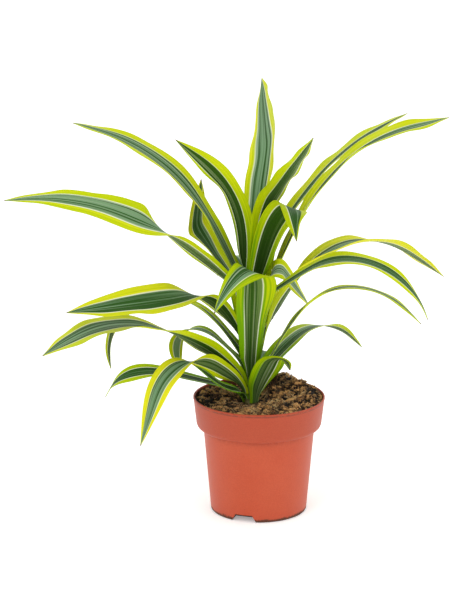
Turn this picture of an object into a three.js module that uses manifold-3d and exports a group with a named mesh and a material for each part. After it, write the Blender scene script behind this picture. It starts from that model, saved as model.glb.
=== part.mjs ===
// A potted dracaena: a nursery pot filled with peat, a short stem, and long variegated leaves
// that clasp the stem, rise and arch over. Millimetres, +Z up. The origin is the centre of the
// pot's underside, and -Y is the front.
import * as THREE from "three";
import { mergeVertices } from "three/addons/utils/BufferGeometryUtils.js";
import Module from "manifold-3d";

const wasm = await Module();
wasm.setup();

const GAP = 0.3; // clearance between pieces that touch

// Pot
const POT_HEIGHT = 107;
const POT_TOP_RADIUS = 60;
const POT_BASE_RADIUS = 44;
const RIM_DROP = 24; // height of the rim's straight outer face
const RIM_FOOT_RADIUS = 57.2; // outer radius where that face ends
const SHOULDER_DROP = 28; // from the pot's top to the underside of the rim band
const SHOULDER_RADIUS = 54.6;
const BODY_TOP_RADIUS = 50.8;
const POT_WALL = 1.6;
const POT_FLOOR = 2;
const EDGE_ROUND = 0.6;
const POT_SIDES = 60;

// Drain pockets in the pot's foot
const POCKET_COUNT = 3;
const POCKET_FIRST_ANGLE = -109; // degrees: 19 degrees left of the front
const POCKET_HEIGHT = 6.6;
const POCKET_TOP_WIDTH = 16;
const POCKET_FOOT_WIDTH = 24;
const POCKET_DEPTH = 14;
const POCKET_WALL = 1.4;
const DRAIN_RADIUS = 3.5;

// Peat
const PEAT_LEVEL = 101.2; // at the stem
const PEAT_EDGE_RISE = 0.9;
const WALL_SLIP = 0.45; // how much lower a heap is at the pot's wall
const PEAT_RINGS = 10;
const HEAPS = [
  { x: 22, y: 28, height: 17, spread: 14 },
  { x: 44, y: 8, height: 11, spread: 11 },
  { x: 30, y: -30, height: 3, spread: 12 },
  { x: -50, y: 8, height: 8.5, spread: 20 },
];

// Stem
const STEM_X = -8;
const STEM_Y = -3;
const STEM_FOOT = 58;
const STEM_TOP = 234;
const STEM_LOW = 95; // it narrows from here
const STEM_HIGH = 200; // to here
const STEM_LOW_RADIUS = 6.5;
const STEM_HIGH_RADIUS = 4;
const STEM_SIDES = 16;

// Leaves
const BLADE = 0.8; // thickness
const STRIPS = 4; // across a blade
const STATION_STEP = 17; // length of blade that calls for one more station
const STATION_TURN = 15; // and degrees of bend that do
const ROLL_BY = 0.2; // part of a leaf's length by which it has its lower roll
const NECK_EASE = 0.17; // half of the part over which a blade turns to its upper roll
const FINE_STEPS = 240; // along a leaf's centre line, before the stations are picked
const CLASP_PITCH = 88;
const CLASP_LENGTH = 9; // over which a leaf turns away from the stem
const CLASP_WRAP = 0.9; // most radians of stem that each half of a leaf's base wraps
const CLASP_OPEN = 40; // length over which the channel opens
const BASE_WIDTH = 0.5; // of the full width
const TIP_WIDTH = 1.2;
const CHANNEL_RADII = [22, 38, 60]; // of the cross section at the base, a third up and the tip
const CHANNEL_MIDDLE = 0.35;
const WAVE_LENGTH = 64;
const WAVE_HEIGHT = 1;
const WAVE_START = 45;

// One row for each leaf, from the lowest up: the compass angle that it leaves the stem at
// (0 right, 90 back, -90 front), the height of its base, its length and width, the pitch that it
// rises at and the pitch past its bend, where along it (0 to 1) the bend is and half of the bend's
// length, what the bend adds to its compass angle, its lower roll, how far the blade turns about
// its own length on the way up, and where along it the middle of that turn, the neck, is.
const LEAF_KEYS = [
  "angle", "base", "length", "width", "rise", "drop", "bend", "ease", "sway", "roll", "turn", "neck",
];
const LEAVES = [
  [180, 102.5, 156, 22, 13, -55, 0.71, 0.32, -53, -2, -40, 0.59],
  [-44, 102.5, 72, 31, 59, -71, 0.79, 0.17, 64, -14, -8, 0.44],
  [79, 102.5, 151, 28, 20, -30, 0.49, 0.35, 5, 2, 8, 0.5],
  [-136, 106.5, 83, 18, -6, 37, 0.26, 0.37, 4, -24, -11, 0.55],
  [59, 110.0, 203, 31, 18, -53, 0.71, 0.48, -18, -10, 5, 0.77],
  [-149, 111, 165, 23, 34, -71, 0.5, 0.29, -1, 70, -112, 0.43],
  [-20, 115.5, 215, 22, 60, -44, 0.65, 0.4, -3, 14, -19, 0.49],
  [-165, 119.0, 308, 36, 51, 1, 0.3, 0.59, 53, 40, -49, 0.27],
  [84, 123.5, 195, 30, 45, -48, 0.55, 0.35, -6, 5, -8, 0.5],
  [-84, 127.0, 203, 36, 66, -58, 0.72, 0.33, -61, 25, -43, 0.43],
  [161, 129.5, 117, 26, 37, -113, 0.64, 0.35, -19, 19, -12, 0.4],
  [158, 135.5, 201, 33, 49, -131, 0.69, 0.6, 45, 15, 19, 0.6],
  [41, 138.0, 301, 41, 59, -34, 0.46, 0.48, 0, -61, 54, 0.34],
  [98, 146, 198, 30, 50, -38, 0.55, 0.4, 6, -5, 10, 0.5],
  [-159, 151.5, 263, 31, 57, 7, 0.24, 0.16, 34, 32, -75, 0.33],
  [75, 164.0, 200, 28, 63, -20, 0.55, 0.4, 6, 5, -10, 0.5],
  [24, 170.5, 312, 32, 65, 2, 0.55, 0.36, 18, -19, 46, 0.74],
  [-45, 186, 226, 24, 33, -98, 0.79, 0.49, 51, 30, -18, 0.51],
  [137, 186.5, 138, 35, 43, 97, 0.67, 0.07, 29, 24, -48, 0.6],
  [-137, 193, 338, 26, 40, 1, 0.62, 0.6, 14, 17, -138, 0.45],
  [-22, 194, 93, 22, 53, -51, 0.45, 0.07, 58, -22, 76, 0.36],
  [164, 198.5, 245, 35, 62, 19, 0.59, 0.39, 54, 0, -26, 0.47],
  [-53, 201.0, 198, 28, 69, -19, 0.55, 0.37, -38, -27, 76, 0.78],
  [49, 209.5, 298, 25, 55, 5, 0.38, 0.6, 7, -23, 23, 0.72],
  [-61, 210.5, 269, 24, 76, 28, 0.3, 0.12, -17, -12, 21, 0.35],
  [-168, 214.0, 155, 23, 89, 37, 0.53, 0.38, -9, 49, 43, 0.7],
  [77, 223, 248, 46, 54, 21, 0.49, 0.07, 15, -44, -23, 0.52],
  [4, 231.0, 90, 22, 83, 57, 0.43, 0.29, -21, 5, 12, 0.45],
].map((row) => Object.fromEntries(LEAF_KEYS.map((key, i) => [key, row[i]])));

const radians = THREE.MathUtils.degToRad;
const { clamp, lerp, mapLinear, smoothstep } = THREE.MathUtils;

const potPlastic = new THREE.MeshStandardMaterial({ color: "#c2553a", roughness: 0.55, metalness: 0 });
const peatCrumb = new THREE.MeshStandardMaterial({ color: "#4a3322", roughness: 1, metalness: 0 });
const stemBark = new THREE.MeshStandardMaterial({ color: "#7f8f4a", roughness: 0.8, metalness: 0 });
const leafBlade = new THREE.MeshStandardMaterial({ color: "#7da03c", roughness: 0.45, metalness: 0 });

// A closed geometry as a solid that can be joined and cut, and back again.
function solidOf(geometry) {
  const bare = geometry.clone();
  bare.deleteAttribute("normal");
  bare.deleteAttribute("uv");
  const merged = mergeVertices(bare, 1e-4);
  return new wasm.Manifold(
    new wasm.Mesh({
      numProp: 3,
      vertProperties: merged.attributes.position.array,
      triVerts: new Uint32Array(merged.index.array),
    }),
  );
}

function geometryOf(solid) {
  const { vertProperties, triVerts } = solid.getMesh();
  return new THREE.BufferGeometry()
    .setAttribute("position", new THREE.BufferAttribute(new Float32Array(vertProperties), 3))
    .setIndex(new THREE.BufferAttribute(new Uint32Array(triVerts), 1));
}

// A profile of [radius, height] points turned about the upright axis.
function turned(profile, sides) {
  const points = profile.map(([radius, height]) => new THREE.Vector2(radius, height));
  return new THREE.LatheGeometry(points, sides).rotateX(Math.PI / 2);
}

// The pot's outside, from the foot up to the lip.
const potOutside = [
  [0, 0],
  [POT_BASE_RADIUS - 1, 0],
  [POT_BASE_RADIUS, 1],
  [BODY_TOP_RADIUS, POT_HEIGHT - SHOULDER_DROP],
  [SHOULDER_RADIUS, POT_HEIGHT - SHOULDER_DROP],
  [SHOULDER_RADIUS + 1.7, POT_HEIGHT - SHOULDER_DROP + 1.3],
  [RIM_FOOT_RADIUS, POT_HEIGHT - RIM_DROP],
  [POT_TOP_RADIUS, POT_HEIGHT - EDGE_ROUND],
  [POT_TOP_RADIUS - EDGE_ROUND, POT_HEIGHT],
];

// The pot's inside, from the lip down to the floor, drawn in by a clearance.
const potInside = (inset) => [
  [POT_TOP_RADIUS - POT_WALL - inset, POT_HEIGHT - EDGE_ROUND],
  [RIM_FOOT_RADIUS - POT_WALL - inset, POT_HEIGHT - RIM_DROP],
  [SHOULDER_RADIUS - 1 - inset, POT_HEIGHT - SHOULDER_DROP + POT_WALL + inset],
  [BODY_TOP_RADIUS - POT_WALL - inset, POT_HEIGHT - SHOULDER_DROP + POT_WALL - 0.4 + inset],
  [POT_BASE_RADIUS - POT_WALL + 0.2 - inset, POT_FLOOR + inset],
  [0, POT_FLOOR + inset],
];

// A block with sloping sides that reaches in from the pot's wall: a pocket, or the wall round one.
function pocketBlock(grow, reach, angle) {
  const foot = POCKET_FOOT_WIDTH / 2 + grow;
  const top = POCKET_TOP_WIDTH / 2 + grow;
  const height = POCKET_HEIGHT + grow;
  const outline = new THREE.Shape([
    new THREE.Vector2(-foot, -1),
    new THREE.Vector2(foot, -1),
    new THREE.Vector2(top, height),
    new THREE.Vector2(-top, height),
  ]);
  const depth = reach + POCKET_DEPTH + grow;
  return new THREE.ExtrudeGeometry(outline, { depth, bevelEnabled: false })
    .rotateX(Math.PI / 2)
    .translate(0, POT_BASE_RADIUS + reach, 0)
    .rotateZ(radians(angle - 90));
}

const pocketAngles = Array.from(
  { length: POCKET_COUNT },
  (_, i) => POCKET_FIRST_ANGLE + (360 / POCKET_COUNT) * i,
);

function potGeometry() {
  const outside = solidOf(turned([...potOutside, [0, POT_HEIGHT]], POT_SIDES));
  let pot = solidOf(
    turned([...potOutside, [POT_TOP_RADIUS - POT_WALL + 0.5, POT_HEIGHT], ...potInside(0)], POT_SIDES),
  );
  for (const angle of pocketAngles) {
    const walled = solidOf(pocketBlock(POCKET_WALL, 4, angle)).intersect(outside);
    const drain = new THREE.CylinderGeometry(DRAIN_RADIUS, DRAIN_RADIUS, POCKET_HEIGHT, 12)
      .rotateX(Math.PI / 2)
      .translate(POT_BASE_RADIUS - POCKET_DEPTH / 2, 0, POCKET_HEIGHT)
      .rotateZ(radians(angle));
    pot = pot.add(walled).subtract(solidOf(pocketBlock(0, 4, angle))).subtract(solidOf(drain));
  }
  return geometryOf(pot);
}

// How high the peat stands: level round the stem, lumpy, and heaped towards the back.
function peatHeight(x, y, edgeRadius) {
  const away = smoothstep(Math.hypot(x - STEM_X, y - STEM_Y), 9, 24);
  const bell = (heap) => Math.exp(-((x - heap.x) ** 2 + (y - heap.y) ** 2) / (2 * heap.spread ** 2));
  const heaps = HEAPS.reduce((sum, heap) => sum + heap.height * bell(heap), 0);
  const edge = (Math.hypot(x, y) / edgeRadius) ** 6;
  const lumps = 1.1 * Math.sin(0.31 * x + 0.6) * Math.sin(0.27 * y + 1.9)
    + 0.7 * Math.sin(0.7 * x) * Math.cos(0.6 * y);
  const tilt = 0.02 * x - 0.02 * y;
  return PEAT_LEVEL + away * (PEAT_EDGE_RISE + tilt + heaps * (1 - WALL_SLIP * edge) + lumps);
}

function peatGeometry() {
  const [, ...below] = potInside(GAP);
  const rimRadius = (height) =>
    mapLinear(height, POT_HEIGHT - RIM_DROP, POT_HEIGHT, RIM_FOOT_RADIUS, POT_TOP_RADIUS);
  const edgeRadius = rimRadius(PEAT_LEVEL - 2) - POT_WALL - GAP;
  const profile = below.reverse();
  for (let ring = PEAT_RINGS; ring >= 0; ring--)
    profile.push([(edgeRadius * ring) / PEAT_RINGS, POT_HEIGHT]);
  const filled = turned(profile, POT_SIDES);
  const place = filled.getAttribute("position");
  for (let i = 0; i < place.count; i++)
    if (place.getZ(i) > POT_HEIGHT - 1) place.setZ(i, peatHeight(place.getX(i), place.getY(i), edgeRadius));
  const hole = turned(stemProfile(GAP).map(([radius, height]) => [radius, height - GAP]), STEM_SIDES)
    .translate(STEM_X, STEM_Y, 0);
  let peat = solidOf(filled).subtract(solidOf(hole));
  for (const angle of pocketAngles) peat = peat.subtract(solidOf(pocketBlock(POCKET_WALL + GAP, 4, angle)));
  return geometryOf(peat);
}

const stemRadius = (height) =>
  mapLinear(clamp(height, STEM_LOW, STEM_HIGH), STEM_LOW, STEM_HIGH, STEM_LOW_RADIUS, STEM_HIGH_RADIUS);

// The stem's outline, grown by a clearance.
const stemProfile = (grow) => [
  [0, STEM_FOOT],
  [STEM_LOW_RADIUS - 1 + grow, STEM_FOOT],
  [STEM_LOW_RADIUS + grow, STEM_FOOT + 2],
  [STEM_LOW_RADIUS + grow, STEM_LOW],
  [stemRadius(150) + grow, 150],
  [STEM_HIGH_RADIUS + grow, STEM_HIGH],
  [STEM_HIGH_RADIUS * 0.8 + grow, STEM_TOP - 6],
  [0, STEM_TOP],
];

// A blade's width along it, as a part of its full width: it widens to the middle and then narrows
// to a long point.
const widthAt = (t) =>
  t < 0.5
    ? BASE_WIDTH + (1 - BASE_WIDTH) * Math.sin(Math.PI * t) ** 1.3
    : 1 - ((t - 0.5) / 0.5) ** 2.1;

// The frames along a leaf: centre, direction, side and up, close together.
function centreLine(leaf) {
  const claspRadius = stemRadius(leaf.base) + GAP + BLADE / 2;
  const wrap = Math.min(CLASP_WRAP, (leaf.width * BASE_WIDTH) / 2 / claspRadius);
  const radius = claspRadius / Math.cos(wrap / STRIPS);
  const pastBend = (t) => smoothstep(t, leaf.bend - leaf.ease, leaf.bend + leaf.ease);
  const start = radians(leaf.angle + leaf.sway * pastBend(0));
  const centre = new THREE.Vector3(
    STEM_X + radius * Math.cos(start),
    STEM_Y + radius * Math.sin(start),
    leaf.base,
  );
  const frames = [];
  for (let i = 0; i <= FINE_STEPS; i++) {
    const t = i / FINE_STEPS;
    const past = pastBend(t);
    const free = lerp(leaf.rise, leaf.drop, past);
    const clasp = Math.exp((-t * leaf.length) / CLASP_LENGTH);
    const pitch = radians(lerp(free, Math.max(free, CLASP_PITCH), clasp));
    const yaw = radians(leaf.angle + leaf.sway * past);
    const reach = Math.cos(pitch);
    const along = new THREE.Vector3(Math.cos(yaw) * reach, Math.sin(yaw) * reach, Math.sin(pitch));
    const level = new THREE.Vector3(-Math.sin(yaw), Math.cos(yaw), 0);
    const pastNeck = smoothstep(t, leaf.neck - NECK_EASE, leaf.neck + NECK_EASE);
    const roll = radians(leaf.roll * smoothstep(t, 0, ROLL_BY) + leaf.turn * pastNeck);
    const side = level.clone().applyAxisAngle(along, roll);
    const up = along.clone().cross(side);
    if (i) {
      const middle = along.clone().add(frames[i - 1].along).normalize();
      centre.addScaledVector(middle, leaf.length / FINE_STEPS);
    }
    frames.push({ t, along, side, up, centre: centre.clone() });
  }
  return { frames, radius, wrap };
}

// The frames where the blade has a row of points: closer together where it bends.
function stations(frames, length) {
  const due = [0];
  for (let i = 1; i < frames.length; i++) {
    const turnOf = (key) => THREE.MathUtils.radToDeg(frames[i][key].angleTo(frames[i - 1][key]));
    const turn = Math.max(turnOf("along"), turnOf("side"));
    due.push(due[i - 1] + length / FINE_STEPS / STATION_STEP + turn / STATION_TURN);
  }
  const count = Math.ceil(due[FINE_STEPS]);
  return Array.from({ length: count + 1 }, (_, k) => {
    const wanted = (due[FINE_STEPS] * k) / count;
    return frames[due.findIndex((value) => value >= wanted - 1e-9)];
  });
}

// A leaf: a thin channelled blade with waved margins, both faces split into triangles alike.
function leafGeometry(leaf, index) {
  const { frames, radius, wrap } = centreLine(leaf);
  const rows = stations(frames, leaf.length);
  const places = [];
  for (const { t, side, up, centre } of rows) {
    const s = t * leaf.length;
    const open = smoothstep(s, 0, CLASP_OPEN);
    const [low, middle, high] = CHANNEL_RADII;
    const flat = t < CHANNEL_MIDDLE
      ? mapLinear(t, 0, CHANNEL_MIDDLE, low, middle)
      : mapLinear(t, CHANNEL_MIDDLE, 1, middle, high);
    const bow = lerp(radius, flat, open);
    const grown = lerp(2 * wrap * radius, leaf.width * widthAt(t), smoothstep(s, 0, CLASP_OPEN / 2));
    const half = Math.max(grown, TIP_WIDTH) / 2;
    const waving = smoothstep(s, WAVE_START, WAVE_START + 50) * smoothstep(1 - t, 0, 0.15);
    for (let j = 0; j <= STRIPS; j++) {
      const across = (2 * j) / STRIPS - 1;
      const phase = 2.4 * index + (across < 0 ? 1.9 : 0);
      const wave = waving * WAVE_HEIGHT * across ** 2 * Math.sin((2 * Math.PI * s) / WAVE_LENGTH + phase);
      const lean = (half * across) / bow;
      const normal = up.clone().multiplyScalar(Math.cos(lean)).addScaledVector(side, -Math.sin(lean));
      const middlePlace = centre
        .clone()
        .addScaledVector(side, Math.sin(lean) * bow)
        .addScaledVector(up, (1 - Math.cos(lean)) * bow)
        .addScaledVector(normal, wave);
      for (const face of [1, -1])
        places.push(...middlePlace.clone().addScaledVector(normal, (face * BLADE) / 2));
    }
  }
  const at = (row, column, face) => 2 * (row * (STRIPS + 1) + column) + face; // face 0 upper, 1 under
  const faces = [];
  const quad = (a, b, c, d) => faces.push(a, b, c, a, c, d);
  const last = rows.length - 1;
  for (let row = 0; row < last; row++) {
    for (let column = 0; column < STRIPS; column++) {
      const corners = (face) => [
        at(row, column, face),
        at(row + 1, column, face),
        at(row + 1, column + 1, face),
        at(row, column + 1, face),
      ];
      const [a, b, c, d] = corners(1);
      quad(...corners(0));
      faces.push(a, c, b, a, d, c);
    }
    quad(at(row, 0, 0), at(row, 0, 1), at(row + 1, 0, 1), at(row + 1, 0, 0));
    quad(at(row, STRIPS, 0), at(row + 1, STRIPS, 0), at(row + 1, STRIPS, 1), at(row, STRIPS, 1));
  }
  for (let column = 0; column < STRIPS; column++) {
    quad(at(0, column, 0), at(0, column + 1, 0), at(0, column + 1, 1), at(0, column, 1));
    quad(at(last, column, 0), at(last, column, 1), at(last, column + 1, 1), at(last, column + 1, 0));
  }
  return new THREE.BufferGeometry()
    .setAttribute("position", new THREE.Float32BufferAttribute(places, 3))
    .setIndex(faces);
}

const plant = new THREE.Group();
plant.name = "potted_dracaena";

function piece(name, geometry, material) {
  const mesh = new THREE.Mesh(geometry, material);
  mesh.name = name;
  plant.add(mesh);
  return mesh;
}

piece("pot", potGeometry(), potPlastic);
piece("peat", peatGeometry(), peatCrumb);
piece("stem", turned(stemProfile(0), STEM_SIDES), stemBark).position.set(STEM_X, STEM_Y, 0);
LEAVES.forEach((leaf, index) => {
  piece("leaf_" + String(index + 1).padStart(2, "0"), leafGeometry(leaf, index), leafBlade);
});

export default plant;
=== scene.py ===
"""A potted dracaena in a plastic nursery pot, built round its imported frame.

The pot, the peat, the stem and each leaf are pieces of their own, in metres, with +Z up and the
front towards -Y. The sizes in the tables below are in millimetres.
"""

import math
import random

import bpy
from mathutils import Matrix, Quaternion, Vector, noise


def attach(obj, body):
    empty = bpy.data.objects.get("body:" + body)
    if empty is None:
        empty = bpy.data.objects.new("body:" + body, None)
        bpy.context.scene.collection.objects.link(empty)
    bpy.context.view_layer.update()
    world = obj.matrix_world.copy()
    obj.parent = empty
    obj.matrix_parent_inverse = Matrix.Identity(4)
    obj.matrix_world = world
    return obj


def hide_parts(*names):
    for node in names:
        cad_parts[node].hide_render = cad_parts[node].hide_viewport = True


bl_info = {
    "name": "Potted Dracaena",
    "version": (1, 0, 0),
    "blender": (4, 5, 0),
    "location": "View3D > Sidebar > Dracaena",
    "description": "Builds a potted dracaena with striped arching leaves",
    "category": "Add Mesh",
}

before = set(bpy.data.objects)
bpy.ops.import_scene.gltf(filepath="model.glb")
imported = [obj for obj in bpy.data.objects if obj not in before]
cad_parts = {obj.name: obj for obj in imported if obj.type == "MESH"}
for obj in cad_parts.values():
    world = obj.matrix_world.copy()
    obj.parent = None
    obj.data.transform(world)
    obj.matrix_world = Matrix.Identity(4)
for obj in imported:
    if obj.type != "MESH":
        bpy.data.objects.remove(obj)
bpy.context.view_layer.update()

MM = 0.001
GAP = 0.3  # clearance between pieces that touch

# Pot
POT_HEIGHT = 107.0
POT_TOP_RADIUS = 60.0
POT_BASE_RADIUS = 44.0
RIM_DROP = 24.0
RIM_FOOT_RADIUS = 57.2
SHOULDER_DROP = 28.0
SHOULDER_RADIUS = 54.6
BODY_TOP_RADIUS = 50.8
POT_WALL = 1.6
POT_FLOOR = 2.0
POT_SIDES = 144
POT_CREASE = 28  # edges flatter than this many degrees are shaded smooth
POT_EDGE_FROM = 50  # edges sharper than this are rounded

# Drain pockets in the pot's foot
POCKET_ANGLES = (-109.0, 11.0, 131.0)
POCKET_HEIGHT = 6.6
POCKET_TOP_WIDTH = 16.0
POCKET_FOOT_WIDTH = 24.0
POCKET_DEPTH = 14.0
POCKET_WALL = 1.4
DRAIN_RADIUS = 3.5

# Peat
PEAT_LEVEL = 101.2
PEAT_SIDES = 260
PEAT_RINGS = 100
PEAT_CREASE = 60
PEAT_EDGE_RADIUS = 57.5
LEVEL_RADIUS, HEAP_RADIUS = 9, 24  # level round the stem up to here, and heaped from there on
# x, y, height and spread of each heap
HEAPS = ((22, 28, 17, 14), (44, 8, 11, 11), (30, -30, 3, 12), (-50, 8, 8.5, 20))
WALL_SLIP = 0.45  # how much lower a heap is at the pot's wall
SLIP_WIDTH, SLIP_DEPTH = 2.5, 0.6  # the loose peat's own step back from the wall
# Size, share of the height, and the way the warp pushes them, of the clods of each order
CLODS = ((6.5, 0.55, 1, -1), (3.2, 0.27, -1, 0), (1.7, 0.18, 0, 1))
CLOD_WARP = 3.0

# Loose crumbs and fibres
SCATTER_RADIUS = 56.0
SCATTER_LIMIT = 56.5
STEM_CLEAR = 12
CRUMB_MARGIN = 1.5
CRUMB_SIZES = (0.4, 1.9)
CRUMB_TINTS = (0.3, 0.95)
CRUMB_SINK = 0.25
FIBRE_MARGIN = 8
FIBRE_LIMIT = 57
FIBRE_SIDES = 5
# Radius and place along of each ring of a fibre
FIBRE_RINGS = ((0.16, 0), (0.3, 1), (0.32, 4), (0.34, 7), (0.3, 10), (0.26, 13), (0.12, 15))

# Stem
STEM_AT = Vector((-8.0, -3.0))
STEM_FOOT = 58.0
STEM_TOP = 234.0
STEM_LOW, STEM_LOW_RADIUS = 95.0, 6.5
STEM_HIGH, STEM_HIGH_RADIUS = 200.0, 4.0
STEM_SIDES = 40
FOOT_INSET, FOOT_RISE = 1, 2  # the sloping edge of the stem's foot and of its hole
POINT_LENGTH = 6
POINT_TAPER = 0.8
SCAR_PITCH = 4.4
# Height above a scar's start, and how much of the scar's size it stands out there
SCAR_STEPS = ((0, 0), (2.2, 0), (3.0, 1), (3.6, 0.8))

# Leaves
HALF_BLADE = 0.4
CELLS_ACROSS = 12
CELLS_ALONG = 64
FINE_STEPS = 256
ROLL_BY = 0.2
NECK_EASE = 0.17
CLASP_PITCH = 88
CLASP_LENGTH = 9
CLASP_WRAP = 0.9
CLASP_STRIPS = 4
CLASP_OPEN = 40
BASE_WIDTH = 0.5  # as a part of the leaf's width
BASE_CURVE = 1.3
TIP_WIDTH = 0.5
TIP_CURVE = 2.1
CHANNEL_RADII = (22, 38, 60)
CHANNEL_MIDDLE = 0.35
WAVE_LENGTH = 64
WAVE_HEIGHT = 1.0
WAVE_START = 45
WAVE_RISE = 50
WAVE_END = 0.15  # the last part of a leaf, where its waves fade
RIPPLE_HEIGHT = 0.6
RIPPLE_LENGTH = 21

# One row for each leaf: the compass angle it leaves the stem at, the height of its base, its length
# and width, the pitch it rises at and the pitch past its bend, where the bend is and half of its
# length, what the bend adds to the compass angle, its lower roll, the turn of the blade about its
# own length and where the middle of that turn is. The last four are its stripes: how wide the
# green band is, how far it lies to one side, how yellow the margins are and how pale the band is;
# that paleness is partly the band's own streaks and partly painted sheen and shade, leaf by leaf.
LEAF_KEYS = (
    "angle", "base", "length", "width", "rise", "drop", "bend", "ease", "sway", "roll", "turn",
    "neck", "band", "lean", "lime", "pale",
)  # fmt: skip
LEAVES = [
    dict(zip(LEAF_KEYS, row))
    for row in (
        (180, 102.5, 156, 22, 13, -55, 0.71, 0.32, -53, -2, -40, 0.59, 0.5, 0, 0.35, 0.25),
        (-44, 102.5, 72, 31, 59, -71, 0.79, 0.17, 64, -14, -8, 0.44, 0.46, -0.12, 0.5, 0.6),
        (79, 102.5, 151, 28, 20, -30, 0.49, 0.35, 5, 2, 8, 0.5, 0.5, 0.05, 0.5, 0.4),
        (-136, 106.5, 83, 18, -6, 37, 0.26, 0.37, 4, -24, -11, 0.55, 0.55, 0, 0.2, 0.2),
        (59, 110, 203, 31, 18, -53, 0.71, 0.48, -18, -10, 5, 0.77, 0.5, 0, 0.35, 0.45),
        (-149, 111, 165, 23, 34, -71, 0.5, 0.29, -1, 70, -112, 0.43, 0.5, 0.03, 0.9, 0.6),
        (-20, 115.5, 215, 22, 60, -44, 0.65, 0.4, -3, 14, -19, 0.49, 0.4, 0.16, 0.55, 0.66),
        (-165, 119, 308, 36, 51, 1, 0.3, 0.59, 53, 40, -49, 0.27, 0.52, -0.12, 0.65, 0.45),
        (84, 123.5, 195, 30, 45, -48, 0.55, 0.35, -6, 5, -8, 0.5, 0.5, -0.04, 0.5, 0.4),
        (-84, 127, 203, 36, 66, -58, 0.72, 0.33, -61, 25, -43, 0.43, 0.46, -0.14, 0.32, 0.5),
        (161, 129.5, 117, 26, 37, -113, 0.64, 0.35, -19, 19, -12, 0.4, 0.5, 0, 0.5, 0.95),
        (158, 135.5, 201, 33, 49, -131, 0.69, 0.6, 45, 15, 19, 0.6, 0.5, 0, 0.5, 0.5),
        (41, 138, 301, 41, 59, -34, 0.46, 0.48, 0, -61, 54, 0.34, 0.46, 0.05, 0.8, 0.5),
        (98, 146, 198, 30, 50, -38, 0.55, 0.4, 6, -5, 10, 0.5, 0.5, 0.05, 0.5, 0.4),
        (-159, 151.5, 263, 31, 57, 7, 0.24, 0.16, 34, 32, -75, 0.33, 0.56, 0.04, 0.75, 0.42),
        (75, 164, 200, 28, 63, -20, 0.55, 0.4, 6, 5, -10, 0.5, 0.5, -0.05, 0.5, 0.4),
        (24, 170.5, 312, 32, 65, 2, 0.55, 0.36, 18, -19, 46, 0.74, 0.36, -0.2, 0.6, 0.4),
        (-45, 186, 226, 24, 33, -98, 0.79, 0.49, 51, 30, -18, 0.51, 0.5, 0, 0.6, 0.45),
        (137, 186.5, 138, 35, 43, 97, 0.67, 0.07, 29, 24, -48, 0.6, 0.5, 0, 0.75, 0.5),
        (-137, 193, 338, 26, 40, 1, 0.62, 0.6, 14, 17, -138, 0.45, 0.5, 0, 0.6, 0.5),
        (-22, 194, 93, 22, 53, -51, 0.45, 0.07, 58, -22, 76, 0.36, 0.44, 0, 0.85, 0.75),
        (164, 198.5, 245, 35, 62, 19, 0.59, 0.39, 54, 0, -26, 0.47, 0.52, 0, 0.6, 0.6),
        (-53, 201, 198, 28, 69, -19, 0.55, 0.37, -38, -27, 76, 0.78, 0.52, 0, 0.5, 0.2),
        (49, 209.5, 298, 25, 55, 5, 0.38, 0.6, 7, -23, 23, 0.72, 0.36, -0.2, 0.6, 0.4),
        (-61, 210.5, 269, 24, 76, 28, 0.3, 0.12, -17, -12, 21, 0.35, 0.48, 0.2, 0.5, 0.35),
        (-168, 214, 155, 23, 89, 37, 0.53, 0.38, -9, 49, 43, 0.7, 0.48, -0.22, 0.5, 0.35),
        (77, 223, 248, 46, 54, 21, 0.49, 0.07, 15, -44, -23, 0.52, 0.58, 0.14, 0.7, 0.6),
        (4, 231, 90, 22, 83, 57, 0.43, 0.29, -21, 5, 12, 0.45, 0.5, 0, 0.4, 0.5),
    )
]

# Stage, in metres
FLOOR_SIZE = 16
FLOOR_DROP = 0.0003
# Name, share of the main light's power, size and place of each light
LIGHTS = (
    ("key", 1, 1.4, (-1.1, -1.5, 2.0)),
    ("fill", 0.45, 2.0, (1.7, -0.9, 1.3)),
    ("back", 0.5, 1.6, (0.3, 1.8, 1.7)),
)
LIT_POINT = Vector((0, 0, 0.2))

# Camera: the photograph's own view
CAMERA_AT = (-0.031, -1.910, 0.698)
CAMERA_DOWN = 14.7
CAMERA_LENS = 131.46
CAMERA_SENSOR = 36
CAMERA_CLIP = (0.05, 60)


def linear(red, green, blue):
    """A screen colour, 0 to 255, in linear values."""
    return tuple(
        ((c / 255 + 0.055) / 1.055) ** 2.4 if c > 10 else c / 255 / 12.92
        for c in (red, green, blue)
    )


def colour(name, about, default):
    """A colour, in linear values."""
    return bpy.props.FloatVectorProperty(
        name=name, description=about, subtype="COLOR", size=3, min=0, max=1, default=default
    )


def length(name, about, default):
    """A size in metres, from a default in millimetres."""
    return bpy.props.FloatProperty(
        name=name, description=about, default=default * MM, min=0, unit="LENGTH", precision=4
    )


def share(name, about, default):
    """A part of a whole, 0 to 1."""
    return bpy.props.FloatProperty(
        name=name, description=about, default=default, min=0, max=1, subtype="FACTOR"
    )


def count(name, about, default):
    """A whole number of things."""
    return bpy.props.IntProperty(name=name, description=about, default=default, min=0)


class PotSettings(bpy.types.PropertyGroup):
    """The nursery pot."""

    edge: length("Edge", "How far the pot's sharp edges are rounded", 0.35)
    plastic: colour("Plastic", "The plastic's own colour", linear(184, 69, 31))
    pale: colour("Pale", "Where the plastic is rubbed pale", linear(212, 118, 86))
    # The deep colour is the plastic's grain, its rim band and chips, and painted shade under the rim
    # band
    deep_and_shade: colour("Deep", "Where the plastic is thick or grubby", linear(136, 42, 16))
    # The dirt colour also paints shade inside the rim band's wall, mixed there with peat dust
    dirt_and_shade: colour("Dirt", "Peat dust on the foot and the lip", linear(62, 42, 24))


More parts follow.
